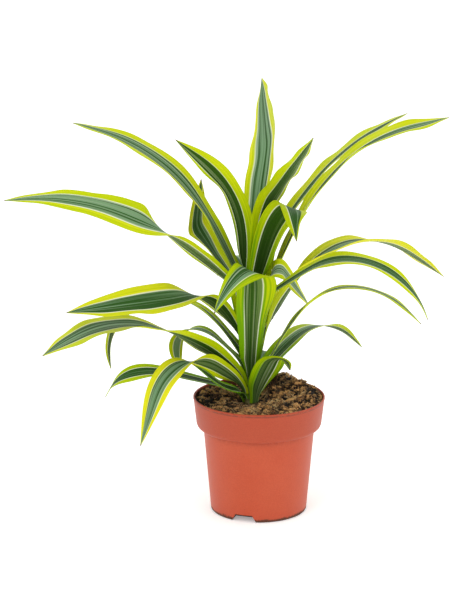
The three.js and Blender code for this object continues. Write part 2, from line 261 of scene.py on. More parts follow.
class PeatSettings(bpy.types.PropertyGroup):
    """The filling of the pot."""

    crumbs: count("Crumbs", "How many loose crumbs lie on the peat", 1800)
    fibres: count("Fibres", "How many loose fibres lie on the peat", 420)
    lump: length("Lumps", "Height of the small lumps of the surface", 4.4)
    # The dark colour also paints shade into the creases between clods
    dark_and_shade: colour("Dark", "The peat in its hollows", linear(24, 13, 6))
    # The light colour also lightens the clod tops, against the painted shade in the creases
    light: colour("Light", "The peat on its crumbs", linear(204, 152, 96))
    straw: colour("Straw", "The pale loose fibres", linear(220, 184, 132))
    husk: colour("Husk", "The dark loose fibres", linear(84, 54, 28))
    grit: colour("Grit", "Pale specks in the peat", linear(205, 198, 170))
    moss: colour("Moss", "Green specks in the peat", linear(60, 104, 50))


class StemSettings(bpy.types.PropertyGroup):
    """The stem."""

    scar: length("Scars", "How far the leaf scars stand out", 0.35)
    bark: colour("Bark", "The stem among the leaves", linear(96, 122, 30))
    wood: colour("Wood", "The stem below the leaves", linear(96, 84, 48))
    ring: colour("Rings", "The lines round the stem", linear(50, 64, 20))


class LeafSettings(bpy.types.PropertyGroup):
    """The leaves."""

    blade: length("Blade", "Thickness of a blade at its middle", 0.8)
    rim: share("Rim", "Thickness of a margin, as a part of the blade's", 0.45)
    # The sage also washes the band of the palest leaves as painted sheen
    sage: colour("Sage", "Pale streaks of the upper face's band", linear(112, 146, 106))
    band: colour("Band", "The upper face's green band", linear(44, 82, 30))
    cream: colour("Cream", "The line between the band and the margin", linear(232, 234, 212))
    # Near the base the green margin is partly painted shade
    green: colour("Green", "A margin near the leaf's base", linear(104, 150, 2))
    lime: colour("Lime", "A margin in its middle", linear(180, 196, 2))
    yellow: colour("Yellow", "A ripe margin", linear(222, 218, 34))
    # The underside colour also paints shade on the clasping base of either face
    under: colour("Underside", "The under face's band", linear(46, 80, 14))
    under_pale: colour("Underside streaks", "Pale streaks of that band", linear(98, 124, 62))
    # Painted shade: either face's band near the stem
    deep_and_shade: colour("Base", "Either face's band near the stem", linear(26, 46, 14))
    brown: colour("Tip", "The dry end of a leaf", linear(104, 70, 38))


class StageSettings(bpy.types.PropertyGroup):
    """The floor and the light."""

    floor: colour("Floor", "The floor's colour", (0.95, 0.95, 0.95))
    glow: share("Glow", "How far the floor is lit from below, as a light table is", 0.3)
    sky: bpy.props.FloatProperty(
        name="Sky", description="Brightness of the light from all round", default=0.95, min=0
    )
    key: bpy.props.FloatProperty(
        name="Key", description="Power of the main light", default=14, min=0, unit="POWER"
    )


# Ramps and small measures


def between(value, low, high):
    """How far a value is from low to high, kept to 0..1."""
    return min(max((value - low) / (high - low), 0.0), 1.0)


def smooth(value, low, high):
    part = between(value, low, high)
    return part * part * (3 - 2 * part)


def mix(low, high, part):
    return low + (high - low) * part


# Shader nodes


class Value:
    """A socket that takes part in sums: each operator adds its Math node."""

    def __init__(self, graph, socket):
        self.graph, self.socket = graph, socket

    def _sum(self, operation, *terms):
        return self.graph.node("ShaderNodeMath", {"operation": operation}, dict(enumerate(terms)))

    def __add__(self, other):
        return self._sum("ADD", self, other)

    def __sub__(self, other):
        return self._sum("SUBTRACT", self, other)

    def __rsub__(self, other):
        return self._sum("SUBTRACT", other, self)

    def __mul__(self, other):
        return self._sum("MULTIPLY", self, other)

    def __pow__(self, other):
        return self._sum("POWER", self, other)

    def __abs__(self):
        return self._sum("ABSOLUTE", self)

    def most(self, other):
        return self._sum("MAXIMUM", self, other)

    __radd__ = __add__
    __rmul__ = __mul__


class Graph:
    """A material's nodes."""

    def __init__(self, name):
        self.material = bpy.data.materials.new(name)
        self.material.use_nodes = True
        self.nodes = self.material.node_tree.nodes
        self.links = self.material.node_tree.links
        self.nodes.clear()
        self.place = 0

    def node(self, kind, settings=None, inputs=None, output=0):
        """Adds a node: its settings first, then the values or links of its sockets."""
        made = self.nodes.new(kind)
        made.location = (self.place % 12 * 200, -(self.place // 12) * 260)
        self.place += 1
        for key, value in (settings or {}).items():
            setattr(made, key, value)
        for key, value in (inputs or {}).items():
            socket = made.inputs[key]
            if isinstance(value, Value):
                self.links.new(value.socket, socket)
            elif hasattr(value, "__len__") and len(value) == 3 and socket.type == "RGBA":
                socket.default_value = (*value, 1)
            else:
                socket.default_value = value
        return Value(self, made.outputs[output])

    def step(self, value, low, high):
        """0 below low, 1 above high, and smooth between."""
        return self.node(
            "ShaderNodeMapRange",
            {"interpolation_type": "SMOOTHSTEP"},
            {"Value": value, "From Min": low, "From Max": high, "To Min": 0, "To Max": 1},
        )

    def blend(self, part, low, high):
        """From one colour to another."""
        return self.node(
            "ShaderNodeMix", {"data_type": "RGBA"}, {0: part, 6: low, 7: high}, output=2
        )

    def vector(self, x=0.0, y=0.0, z=0.0):
        return self.node("ShaderNodeCombineXYZ", inputs={0: x, 1: y, 2: z})

    def parts(self, vector):
        split = self.node("ShaderNodeSeparateXYZ", inputs={0: vector})
        return [Value(self, socket) for socket in split.socket.node.outputs]

    def noise(self, vector, scale, detail=2.0, rough=0.5):
        return self.node(
            "ShaderNodeTexNoise",
            inputs={"Vector": vector, "Scale": scale, "Detail": detail, "Roughness": rough},
        )

    def cells(self, vector, scale):
        return self.node("ShaderNodeTexVoronoi", inputs={"Vector": vector, "Scale": scale})

    def here(self):
        return self.node("ShaderNodeTexCoord", output="Object")

    def attribute(self, name, output="Vector"):
        return self.node("ShaderNodeAttribute", {"attribute_name": name}, output=output)

    def bump(self, height, distance, strength):
        inputs = {"Strength": strength, "Distance": distance, "Height": height}
        return self.node("ShaderNodeBump", inputs=inputs)

    def finish(self, **sockets):
        """Ends the graph in one shader with the given sockets, their names in lower case."""
        shader = self.nodes.new("ShaderNodeBsdfPrincipled")
        names = {socket.name.lower().replace(" ", "_"): socket for socket in shader.inputs}
        for key, value in sockets.items():
            if isinstance(value, Value):
                self.links.new(value.socket, names[key])
            else:
                names[key].default_value = value
        end = self.nodes.new("ShaderNodeOutputMaterial")
        self.links.new(shader.outputs[0], end.inputs[0])
        return self.material


def pot_plastic(pot):
    """Moulded plastic: a little cloudy and rubbed, with peat dust on the foot, a broken dark line
    under the lip, painted shade under the rim band, and peat dust with painted shade inside the rim.
    """
    g = Graph("nursery_plastic")
    here = g.here()
    x, y, z = g.parts(here)
    cloud = g.step(g.noise(here, 26, 4, 0.6), 0.3, 0.75)
    grain = g.noise(here, 850, 2)
    scuff = g.step(g.noise(g.vector(x * 60, y * 60, z * 420), 1, 3, 0.6), 0.64, 0.72)
    top, shoulder = POT_HEIGHT * MM, (POT_HEIGHT - SHOULDER_DROP) * MM
    rim = g.step(z, shoulder, shoulder + 0.002)
    # A broken dark line under the lip, painted shade under the rim band, and a dusty foot
    ragged = g.noise(here, 330, 3, 0.6)
    line = g.step(z, top - 0.0034, top - 0.0024) * (1 - g.step(z, top - 0.0017, top - 0.0012))
    line = line * g.step(ragged, 0.32, 0.52)
    chips = g.step(ragged, 0.55, 0.62) * g.step(z, top - 0.0022, top - 0.0008)
    # Painted shade: the body just below the rim band is darkened, as if shadowed by the band
    under = g.step(z, shoulder - 0.006, shoulder - 0.0006) * (1 - rim)
    under = under * g.step(g.noise(here, 210, 3, 0.7), 0.3, 0.7)
    out = (x * x + y * y) ** 0.5
    foot = 1 - g.step(z - g.noise(here, 170, 4, 0.7) * 0.007, -0.0016, 0.0002)
    base, roof = POT_BASE_RADIUS * MM, POCKET_HEIGHT * MM
    pocket = 1 - g.step(out, base - 0.0035, base - 0.0008)
    pocket = pocket * (1 - g.step(z, roof + 0.0004, roof + 0.0012))
    foot = foot.most(pocket * (0.7 + g.step(ragged, 0.36, 0.56) * 0.3))
    splash = g.step(g.noise(here, 520, 4, 0.7), 0.66, 0.74) * (1 - g.step(z, 0.004, 0.05))
    # Peat dust, with painted shade, inside the rim band's wall, whose radius shrinks downwards
    taper = (POT_TOP_RADIUS - RIM_FOOT_RADIUS) / RIM_DROP
    wall = (POT_TOP_RADIUS - POT_WALL) * MM
    inside = 1 - g.step(out + (top - z) * taper, wall + 0.0002, wall + 0.0007)
    inside = inside * g.step(top - z, 0.0006, 0.0022) * g.step(ragged, 0.2, 0.45)
    inside = inside * g.step(z, shoulder + 0.006, shoulder + 0.01)
    ground = g.blend(cloud * 0.12 + scuff * 0.1, pot.plastic, pot.pale)
    ground = g.blend(g.step(grain, 0.35, 0.65) * 0.14 + rim * 0.3, ground, pot.deep_and_shade)
    # Chipped lip in the deep colour, and painted shade under the rim band
    ground = g.blend(chips * 0.6 + under * 0.45, ground, pot.deep_and_shade)
    ground = g.blend(line * 0.5, ground, pot.dirt_and_shade)
    # Dusty foot and splashes, and peat dust with painted shade inside the rim
    ground = g.blend((foot * 0.9).most(splash * 0.4).most(inside * 0.85), ground, pot.dirt_and_shade)
    rough = 0.46 + cloud * 0.1 + foot * 0.3 + scuff * 0.08
    height = g.noise(here, 700, 3) * 0.5 + g.noise(here, 90, 2) * 0.8 - chips * 0.8
    return g.finish(
        base_color=ground, roughness=rough, normal=g.bump(height, 0.00022, 0.5), ior=1.49,
        specular_ior_level=0.4, coat_weight=0.06, coat_roughness=0.3,
    )  # fmt: skip


def peat_fibre(peat):
    """Peat: crumbs, short fibres, painted shade in the hollows, and a few pale and green specks.

    The shade attribute is how far a place stands out of the hollows, and paints shade into the
    creases between clods; on a crumb it is the crumb's own tint.
    """
    g = Graph("fibrous_peat")
    here = g.here()
    x, y, z = g.parts(here)
    shade = g.attribute("shade", "Fac")
    crumb = g.noise(here, 300, 6, 0.7)
    lump = g.noise(here, 110, 3, 0.6)
    hair = g.noise(g.vector(x * 1500, y * 260, z * 400), 1, 4, 0.7)
    hair_too = g.noise(g.vector(x * 240, y * 1400, z * 500), 1, 4, 0.7)
    # Painted shade: the creases between clods darker and the clod tops lighter, mixed with random
    # tone
    light = g.step(crumb * 0.9 + lump * 0.4 + shade * 0.8, 0.98, 1.34)
    ground = g.blend(light, peat.dark_and_shade, peat.light)
    ground = g.blend(g.step(hair.most(hair_too), 0.62, 0.72) * light * 0.8, ground, peat.straw)
    speck = 1 - g.step(g.cells(here, 150), 0.06, 0.1)
    ground = g.blend(speck * g.step(g.noise(here, 60), 0.6, 0.66), ground, peat.grit)
    ground = g.blend(speck * g.step(g.noise(here, 45, 2), 0.64, 0.68), ground, peat.moss)
    height = crumb * 0.9 + hair.most(hair_too) * 0.5 + g.noise(here, 900, 3) * 0.3
    return g.finish(base_color=ground, roughness=0.95, normal=g.bump(height, 0.0016, 0.9))


def straw_fibre(peat):
    """Loose fibres: some pale as straw and some dark."""
    g = Graph("straw_fibre")
    here = g.here()
    shade = g.noise(here, 55, 3)
    ground = g.blend(g.step(shade, 0.44, 0.68), peat.husk, peat.straw)
    return g.finish(
        base_color=ground, roughness=0.85, normal=g.bump(g.noise(here, 1800, 2), 0.0002, 0.6)
    )


def stem_bark(stem):
    """Young bark: ringed by leaf scars, green above and brown below."""
    g = Graph("young_bark")
    here = g.here()
    x, y, z = g.parts(here)
    rings = g.noise(g.vector(x * 40, y * 40, z * 900), 1, 3)
    green = g.step(z, 0.1, 0.115)
    ground = g.blend(green, stem.wood, stem.bark)
    ground = g.blend(g.step(rings, 0.5, 0.7) * 0.4, ground, stem.ring)
    return g.finish(base_color=ground, roughness=0.6, normal=g.bump(rings, 0.0006, 0.7))


def leaf_face(name, leaf, band, streak, gloss):
    """A striped face of a leaf: a streaked green band, cream lines, lime margins, a dry tip, and
    painted shade near the stem.

    Its attributes are leaf (a random number, how pale the band is, which is partly painted sheen
    and shade, the length) and stripe (how wide the band is, how far it lies to one side, how yellow
    the margins are).
    """
    g = Graph(name)
    u, v, _ = g.parts(g.node("ShaderNodeUVMap", {"uv_map": "blade"}))
    seed, pale, long = g.parts(g.attribute("leaf"))
    width, lean, lime = g.parts(g.attribute("stripe"))
    along = v * long
    wander = g.noise(g.vector(along * 14, seed * 9), 1, 1) - 0.5
    across = u * 2 - 1 + lean + wander * 0.06
    out = abs(across)
    broad = g.noise(g.vector(across * 5, along * 2.5, seed * 23), 1, 1)
    fine = g.noise(g.vector(across * 14, along * 4, seed * 17), 1, 2, 0.6)
    veins = g.noise(g.vector(across * 60, along * 7, seed * 5), 1, 2)
    drift = g.noise(g.vector(along * 11, seed * 31, across * 0.7), 1, 1) - 0.5
    beyond = out - width - drift * 0.14
    # The band: dark, with pale streaks along it, a few of them nearly white
    light = g.step(broad * 0.9 + fine * 0.7 + pale * 0.5, 0.96, 1.15)
    green = g.blend(light, band, streak)
    green = g.blend(g.step(veins, 0.55, 0.75) * 0.35, green, leaf.under)
    frost = g.noise(g.vector(across * 9, along * 2, seed * 41), 1, 2, 0.6)
    green = g.blend(g.step(frost, 0.48, 0.66) * light * 0.3, green, leaf.cream)
    # Painted sheen: the band of a very pale leaf is washed with sage
    green = g.blend(g.step(pale, 0.7, 1) * 0.7, green, leaf.sage)
    # Painted shade near the stem: the band turns deep green there, less so on a pale leaf, and the
    # margins greener
    low = 1 - g.step(along, 0.01, 0.11)
    green = g.blend(low * (1 - pale), green, leaf.deep_and_shade)
    # The margins: greener near the stem as painted shade, and a little streaked
    ripe = lime + (broad - 0.5) * 0.3 + (fine - 0.5) * 0.9 + drift * 0.3 - low * 0.4
    margin = g.blend(g.step(ripe, 0, 0.5), leaf.green, leaf.lime)
    margin = g.blend(g.step(ripe, 0.45, 1), margin, leaf.yellow)
    margin = g.blend(g.step(veins, 0.56, 0.74) * 0.22, margin, leaf.green)
    face = g.blend(g.step(beyond, -0.02, 0.02), green, margin)
    line = g.step(beyond, -0.04, 0.0) * (1 - g.step(beyond, 0.03, 0.065))
    face = g.blend(line * g.step(fine + broad, 0.75, 1.05) * 0.8, face, leaf.cream)
    # The clasping base is darkened as painted shade, and the tip is dry
    face = g.blend((1 - g.step(along, 0.0, 0.03)) * 0.4, face, leaf.under)
    dry = 1 - g.step((1 - v) * long, 0.0008, 0.0028)
    face = g.blend(dry * 0.9, face, leaf.brown)
    rough = gloss + broad * 0.1 + dry * 0.3
    height = veins * 0.7 + fine * 0.6 - (1 - g.step(abs(u * 2 - 1), 0.0, 0.05)) * 0.6
    return g.finish(
        base_color=face, roughness=rough, normal=g.bump(height, 0.00035, 0.55), ior=1.4,
        specular_ior_level=0.07,
    )  # fmt: skip


# Modelling


def deselect():
    """Leaves no object selected."""
    bpy.ops.object.select_all(action="DESELECT")


def only(piece):
    """Makes one object the selected and active one."""
    deselect()
    piece.select_set(True)
    bpy.context.view_layer.objects.active = piece
    return piece


def modify(piece, kind, **settings):
    """Adds a modifier and applies it."""
    only(piece)
    bpy.ops.object.modifier_add(type=kind)
    added = piece.modifiers[-1]
    for key, value in settings.items():
        setattr(added, key, value)
    bpy.ops.object.modifier_apply(modifier=added.name)


def settle(piece, name, material, node=None):
    """Gives a finished piece its name, finish and place in the frame."""
    only(piece)
    bpy.ops.object.transform_apply(location=True, rotation=True, scale=True)
    piece.name = piece.data.name = name
    if material:
        piece.data.materials.clear()
        piece.data.materials.append(material)
    if node:
        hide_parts(node)
    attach(piece, "root")
    return piece


def raised(rings, sides):
    """A closed solid: a filled circle drawn through rings of (radius, height, x, y)."""
    deselect()
    rings = [(ring + (0.0, 0.0))[:4] for ring in rings]
    radius, height, x, y = rings[0]
    bpy.ops.mesh.primitive_circle_add(
        vertices=sides, radius=radius * MM, fill_type="NGON", location=(x * MM, y * MM, height * MM)
    )
    bpy.ops.object.transform_apply(location=True, rotation=False, scale=False)
    piece = bpy.context.object
    bpy.ops.object.mode_set(mode="EDIT")
    for before, after in zip(rings, rings[1:]):
        move = Vector((after[2] - before[2], after[3] - before[3], after[1] - before[1])) * MM
        bpy.ops.mesh.extrude_region_move(TRANSFORM_OT_translate={"value": move})
        grow = after[0] / before[0]
        if abs(grow - 1) > 1e-6:
            centre = Vector((after[2], after[3], after[1])) * MM
            bpy.ops.transform.resize(value=(grow, grow, 1), center_override=centre)
    bpy.ops.mesh.select_all(action="SELECT")
    bpy.ops.mesh.remove_doubles(threshold=1e-6)
    bpy.ops.mesh.normals_make_consistent(inside=False)
    bpy.ops.object.mode_set(mode="OBJECT")
    return piece


def pocket_block(grow, angle):
    """A block with sloping sides that reaches in from the pot's wall at a drain pocket."""
    deselect()
    foot, top = POCKET_FOOT_WIDTH / 2 + grow, POCKET_TOP_WIDTH / 2 + grow
    low, high = -1.0, POCKET_HEIGHT + grow
    reach = 6.0
    depth = POCKET_DEPTH + grow + reach
    middle = POT_BASE_RADIUS + reach - depth / 2
    bpy.ops.mesh.primitive_cube_add(size=1, location=(0, 0, 0))
    block = bpy.context.object
    for vertex in block.data.vertices:
        side = foot if vertex.co.z < 0 else top
        vertex.co = Vector(
            (
                middle + math.copysign(depth / 2, vertex.co.x),
                math.copysign(side, vertex.co.y),
                low if vertex.co.z < 0 else high,
            )
        )
    block.data.transform(Matrix.Rotation(math.radians(angle), 4, "Z") @ Matrix.Scale(MM, 4))
    return block


def cut(piece, tool, operation="DIFFERENCE"):
    """Cuts a piece with a tool, or joins them, and removes the tool."""
    modify(piece, "BOOLEAN", operation=operation, object=tool, solver="EXACT")
    bpy.data.objects.remove(tool)


def pot_outside():
    """The pot's outer outline from its foot up: radius and height."""
    top = POT_HEIGHT
    return [
        (POT_BASE_RADIUS - 1.0, 0.0),
        (POT_BASE_RADIUS - 0.3, 0.3),
        (POT_BASE_RADIUS, 1.0),
        (BODY_TOP_RADIUS, top - SHOULDER_DROP - 0.5),
        (BODY_TOP_RADIUS + 0.4, top - SHOULDER_DROP),
        (SHOULDER_RADIUS - 0.2, top - SHOULDER_DROP),
        (SHOULDER_RADIUS + 0.8, top - SHOULDER_DROP + 0.35),
        (SHOULDER_RADIUS + 1.7, top - SHOULDER_DROP + 1.3),
        (RIM_FOOT_RADIUS - 0.25, top - RIM_DROP - 1.2),
        (RIM_FOOT_RADIUS, top - RIM_DROP),
        (POT_TOP_RADIUS - 0.35, top - 2.4),
        (POT_TOP_RADIUS - 0.3, top - 1.9),
        (POT_TOP_RADIUS, top - 1.6),
        (POT_TOP_RADIUS, top - 0.6),
        (POT_TOP_RADIUS - 0.2, top - 0.15),
        (POT_TOP_RADIUS - 0.6, top),
    ]


def pot_inside(inset):
    """The pot's inner outline from its lip down, drawn in by an inset."""
    top = POT_HEIGHT
    return [
        (POT_TOP_RADIUS - POT_WALL - inset, top - 0.6),
        (RIM_FOOT_RADIUS - POT_WALL - inset, top - RIM_DROP),
        (SHOULDER_RADIUS - 1 - inset, top - SHOULDER_DROP + POT_WALL + inset),
        (BODY_TOP_RADIUS - POT_WALL - inset, top - SHOULDER_DROP + POT_WALL - 0.4 + inset),
        (POT_BASE_RADIUS - POT_WALL + 0.2 - inset, POT_FLOOR + inset),
    ]


def clod(x, y, size):
    """1 in the middle of a clod, 0 in the crease between two."""
    near = noise.voronoi(Vector((x, y, 7 * size)) / size)[0][0]
    return 1 - min(near / 0.75, 1) ** 2


def peat_clods(x, y):
    """How far a place stands out of the creases, 0 to 1."""
    warp = CLOD_WARP * noise.noise(Vector((x, y, 1.0)) * 0.25)
    return sum(
        part * clod(x + right * warp, y + back * warp, size) for size, part, right, back in CLODS
    )


def peat_top(x, y, lump=0.0):
    """The height of the peat at a place: level at the stem and heaped away from it."""
    away = smooth(math.hypot(x - STEM_AT.x, y - STEM_AT.y), LEVEL_RADIUS, HEAP_RADIUS)
    heaps = sum(
        height * math.exp(-((x - at_x) ** 2 + (y - at_y) ** 2) / (2 * spread**2))
        for at_x, at_y, height, spread in HEAPS
    )
    edge = (math.hypot(x, y) / PEAT_EDGE_RADIUS) ** 6
    lumps = 1.1 * math.sin(0.31 * x + 0.6) * math.sin(0.27 * y + 1.9)
    lumps += 0.7 * math.sin(0.7 * x) * math.cos(0.6 * y)
    level = PEAT_LEVEL + away * (0.9 + 0.02 * (x - y) + heaps * (1 - WALL_SLIP * edge) + lumps)
    if lump:
        rough = noise.noise(Vector((x, y, 9.0)) * 0.6)
        level += lump * mix(0.3, 1.0, away) * (1.4 * peat_clods(x, y) - 0.75 + 0.3 * rough)
    return level


def stem_radius(height):
    """The stem tapers upwards."""
    return mix(STEM_LOW_RADIUS, STEM_HIGH_RADIUS, between(height, STEM_LOW, STEM_HIGH))


class PieceOperator(bpy.types.Operator):
    """Base of the operators that make a piece."""

    bl_options = {"REGISTER", "UNDO"}


class DRACAENA_OT_pot(PieceOperator):
    """Make the nursery pot: a turned shell with a rim band and drain pockets in its foot."""

    bl_idname = "dracaena.pot"
    bl_label = "Pot"

    def execute(self, context):
        settings = context.scene.dracaena_pot
        outside = pot_outside()
        lip = (POT_TOP_RADIUS - POT_WALL + 0.5, POT_HEIGHT)
        pot = raised(outside + [lip] + pot_inside(0), POT_SIDES)
        for angle in POCKET_ANGLES:
            wall = pocket_block(POCKET_WALL, angle)
            whole = raised(outside, POT_SIDES)
            cut(wall, whole, "INTERSECT")
            cut(pot, wall, "UNION")
            cut(pot, pocket_block(0, angle))
            turn = math.radians(angle)
            out = (POT_BASE_RADIUS - POCKET_DEPTH / 2) * MM
            bpy.ops.mesh.primitive_cylinder_add(
                vertices=32,
                radius=DRAIN_RADIUS * MM,
                depth=POCKET_HEIGHT * MM,
                location=(out * math.cos(turn), out * math.sin(turn), POCKET_HEIGHT * MM),
            )
            cut(pot, bpy.context.object)
        modify(
            pot, "BEVEL", width=settings.edge, segments=2, limit_method="ANGLE",
            angle_limit=math.radians(POT_EDGE_FROM),
        )  # fmt: skip
        only(pot)
        bpy.ops.object.shade_smooth_by_angle(angle=math.radians(POT_CREASE))
        settle(pot, "nursery_pot", pot_plastic(settings), "pot")
        return {"FINISHED"}


class DRACAENA_OT_peat(PieceOperator):
    """Make the filling of the pot, with a hole for the stem."""

    bl_idname = "dracaena.peat"
    bl_label = "Peat"

    def execute(self, context):
        settings = context.scene.dracaena_peat
        # The top is drawn flat above the pot, and its points are then set at their own heights
        marker = POT_HEIGHT + 20
        hole = STEM_LOW_RADIUS + GAP
        rings = [*reversed(pot_inside(GAP)[1:]), (PEAT_EDGE_RADIUS, marker)]
        for ring in range(1, PEAT_RINGS + 1):
            part = ring / PEAT_RINGS
            middle = STEM_AT * part
            rings.append((mix(PEAT_EDGE_RADIUS, hole, part), marker, middle.x, middle.y))
        for radius, height in (
            (hole, STEM_LOW),
            (hole, STEM_FOOT + FOOT_RISE),
            (hole - FOOT_INSET, STEM_FOOT - GAP),
        ):
            rings.append((radius, height, STEM_AT.x, STEM_AT.y))
        peat = raised(rings, PEAT_SIDES)
        for angle in POCKET_ANGLES:
            cut(peat, pocket_block(POCKET_WALL + GAP, angle))
        shades = []
        lump = settings.lump / MM
        for vertex in peat.data.vertices:
            shades.append(0.5)
            if vertex.co.z > (marker - 1) * MM:
                x, y = vertex.co.x / MM, vertex.co.y / MM
                out = math.hypot(x, y)
                slip = SLIP_DEPTH * smooth(out, PEAT_EDGE_RADIUS - SLIP_WIDTH, PEAT_EDGE_RADIUS)
                vertex.co.z = (peat_top(x, y, lump) - slip) * MM
                # The clod relief, which the peat's finish turns into painted shade in the creases
                shades[-1] = peat_clods(x, y)
        shade = peat.data.attributes.new("shade", "FLOAT", "POINT")
        shade.data.foreach_set("value", shades)
        only(peat)
        bpy.ops.object.shade_smooth_by_angle(angle=math.radians(PEAT_CREASE))
        settle(peat, "potting_peat", peat_fibre(settings), "peat")
        return {"FINISHED"}


class DRACAENA_OT_crumbs(PieceOperator):
    """Scatter loose crumbs and fibres on the peat."""

    bl_idname = "dracaena.crumbs"
    bl_label = "Crumbs and Fibres"

    def spots(self, draw, amount, margin):
        """Places on the peat, clear of the stem and the pot's wall."""
        found = []
        while len(found) < amount:
            turn, out = draw.uniform(0, math.tau), SCATTER_RADIUS * math.sqrt(draw.random())
            x, y = out * math.cos(turn), out * math.sin(turn)
            clear = math.hypot(x - STEM_AT.x, y - STEM_AT.y) > STEM_CLEAR
            if clear and out + margin < SCATTER_LIMIT:
                found.append((x, y))
        return found

    def spread(self, model, spots, place):
        """Copies of a model, each with its own mesh, joined into one object."""
        copies = []
        for x, y in spots:
            twin = model.copy()
            twin.data = model.data.copy()
            bpy.context.collection.objects.link(twin)
            place(twin.data, x, y)
            copies.append(twin)
        bpy.data.objects.remove(model)
        only(copies[0])
        for twin in copies:
            twin.select_set(True)
        bpy.ops.object.join()
        return bpy.context.object

    def execute(self, context):
        settings = context.scene.dracaena_peat
        lump = settings.lump / MM
        draw = random.Random(11)

        deselect()
        bpy.ops.mesh.primitive_ico_sphere_add(subdivisions=1, radius=MM)
        crumb = bpy.context.object
        crumb.data.attributes.new("shade", "FLOAT", "POINT")

        def drop(mesh, x, y):
            """A crumb of its own size, shade and shape, most of them small."""
            size = mix(*CRUMB_SIZES, draw.random() ** 2.2)
            tint = mix(*CRUMB_TINTS, draw.random())
            mesh.attributes["shade"].data.foreach_set("value", [tint] * len(mesh.vertices))
            stretch = Matrix.Diagonal((draw.uniform(0.7, 2.0), draw.uniform(0.6, 1.1), 0.6, 1))
            off = Vector((x, y, size))
            for vertex in mesh.vertices:
                vertex.co *= 1 + 0.9 * noise.noise(vertex.co / MM * 1.3 + off)
            turn = Matrix.Rotation(draw.uniform(0, math.tau), 4, "Z")
            tip = Matrix.Rotation(draw.uniform(-0.6, 0.6), 4, "X")
            at = Vector((x, y, peat_top(x, y, lump) + CRUMB_SINK * size)) * MM
            mesh.transform(Matrix.Translation(at) @ turn @ tip @ stretch @ Matrix.Scale(size, 4))

        crumbs = self.spread(crumb, self.spots(draw, settings.crumbs, CRUMB_MARGIN), drop)
        settle(crumbs, "peat_crumbs", bpy.data.materials["fibrous_peat"])

        fibre = raised(FIBRE_RINGS, FIBRE_SIDES)
        fibre.data.transform(Matrix.Rotation(math.radians(90), 4, "Y"))

        def lay(mesh, x, y):
            """A bent fibre that lies on the peat, or arches a little over it."""
            turn, stretch = draw.uniform(0, math.tau), draw.uniform(0.35, 1.15)
            thick = draw.uniform(0.5, 1.25)
            bend, lift = draw.uniform(-0.05, 0.05), draw.uniform(0, 2.0) ** 2
            for vertex in mesh.vertices:
                run, side, up = vertex.co / MM
                run *= stretch
                side = side * thick + bend * run * run
                at_x = x + run * math.cos(turn) - side * math.sin(turn)
                at_y = y + run * math.sin(turn) + side * math.cos(turn)
                out = math.hypot(at_x, at_y)
                if out > FIBRE_LIMIT:
                    at_x, at_y = at_x * FIBRE_LIMIT / out, at_y * FIBRE_LIMIT / out
                whole = FIBRE_RINGS[-1][1] * stretch
                rise = lift * math.sin(math.pi * between(run, 0, whole))
                height = peat_top(at_x, at_y, lump) + up * thick + 0.15 + 0.5 * rise
                vertex.co = Vector((at_x, at_y, height)) * MM

        fibres = self.spread(fibre, self.spots(draw, settings.fibres, FIBRE_MARGIN), lay)
        only(fibres)
        bpy.ops.object.shade_smooth()
        settle(fibres, "peat_fibres", straw_fibre(settings))
        return {"FINISHED"}


class DRACAENA_OT_stem(PieceOperator):
    """Make the stem, ringed by the scars of fallen leaves."""

    bl_idname = "dracaena.stem"
    bl_label = "Stem"

    def execute(self, context):
        settings = context.scene.dracaena_stem
        scar = settings.scar / MM
        point = STEM_TOP - POINT_LENGTH
        rings = [(STEM_LOW_RADIUS - FOOT_INSET, STEM_FOOT), (STEM_LOW_RADIUS, STEM_FOOT + FOOT_RISE)]
        height = STEM_LOW
        while height < point - SCAR_PITCH / 2:
            radius = stem_radius(height) - scar
            if height > STEM_HIGH:
                radius -= POINT_TAPER * between(height, STEM_HIGH, point)
            for rise, out in SCAR_STEPS:
                rings.append((radius + out * scar, height + rise))
            height += SCAR_PITCH
        top = STEM_HIGH_RADIUS * 0.8
        rings += [(top, point), (top * 0.6, STEM_TOP - 2.5), (0.4, STEM_TOP)]
        stem = raised([(*ring, *STEM_AT) for ring in rings], STEM_SIDES)
        only(stem)
        bpy.ops.object.shade_smooth()
        settle(stem, "ringed_stem", stem_bark(settings), "stem")
        return {"FINISHED"}


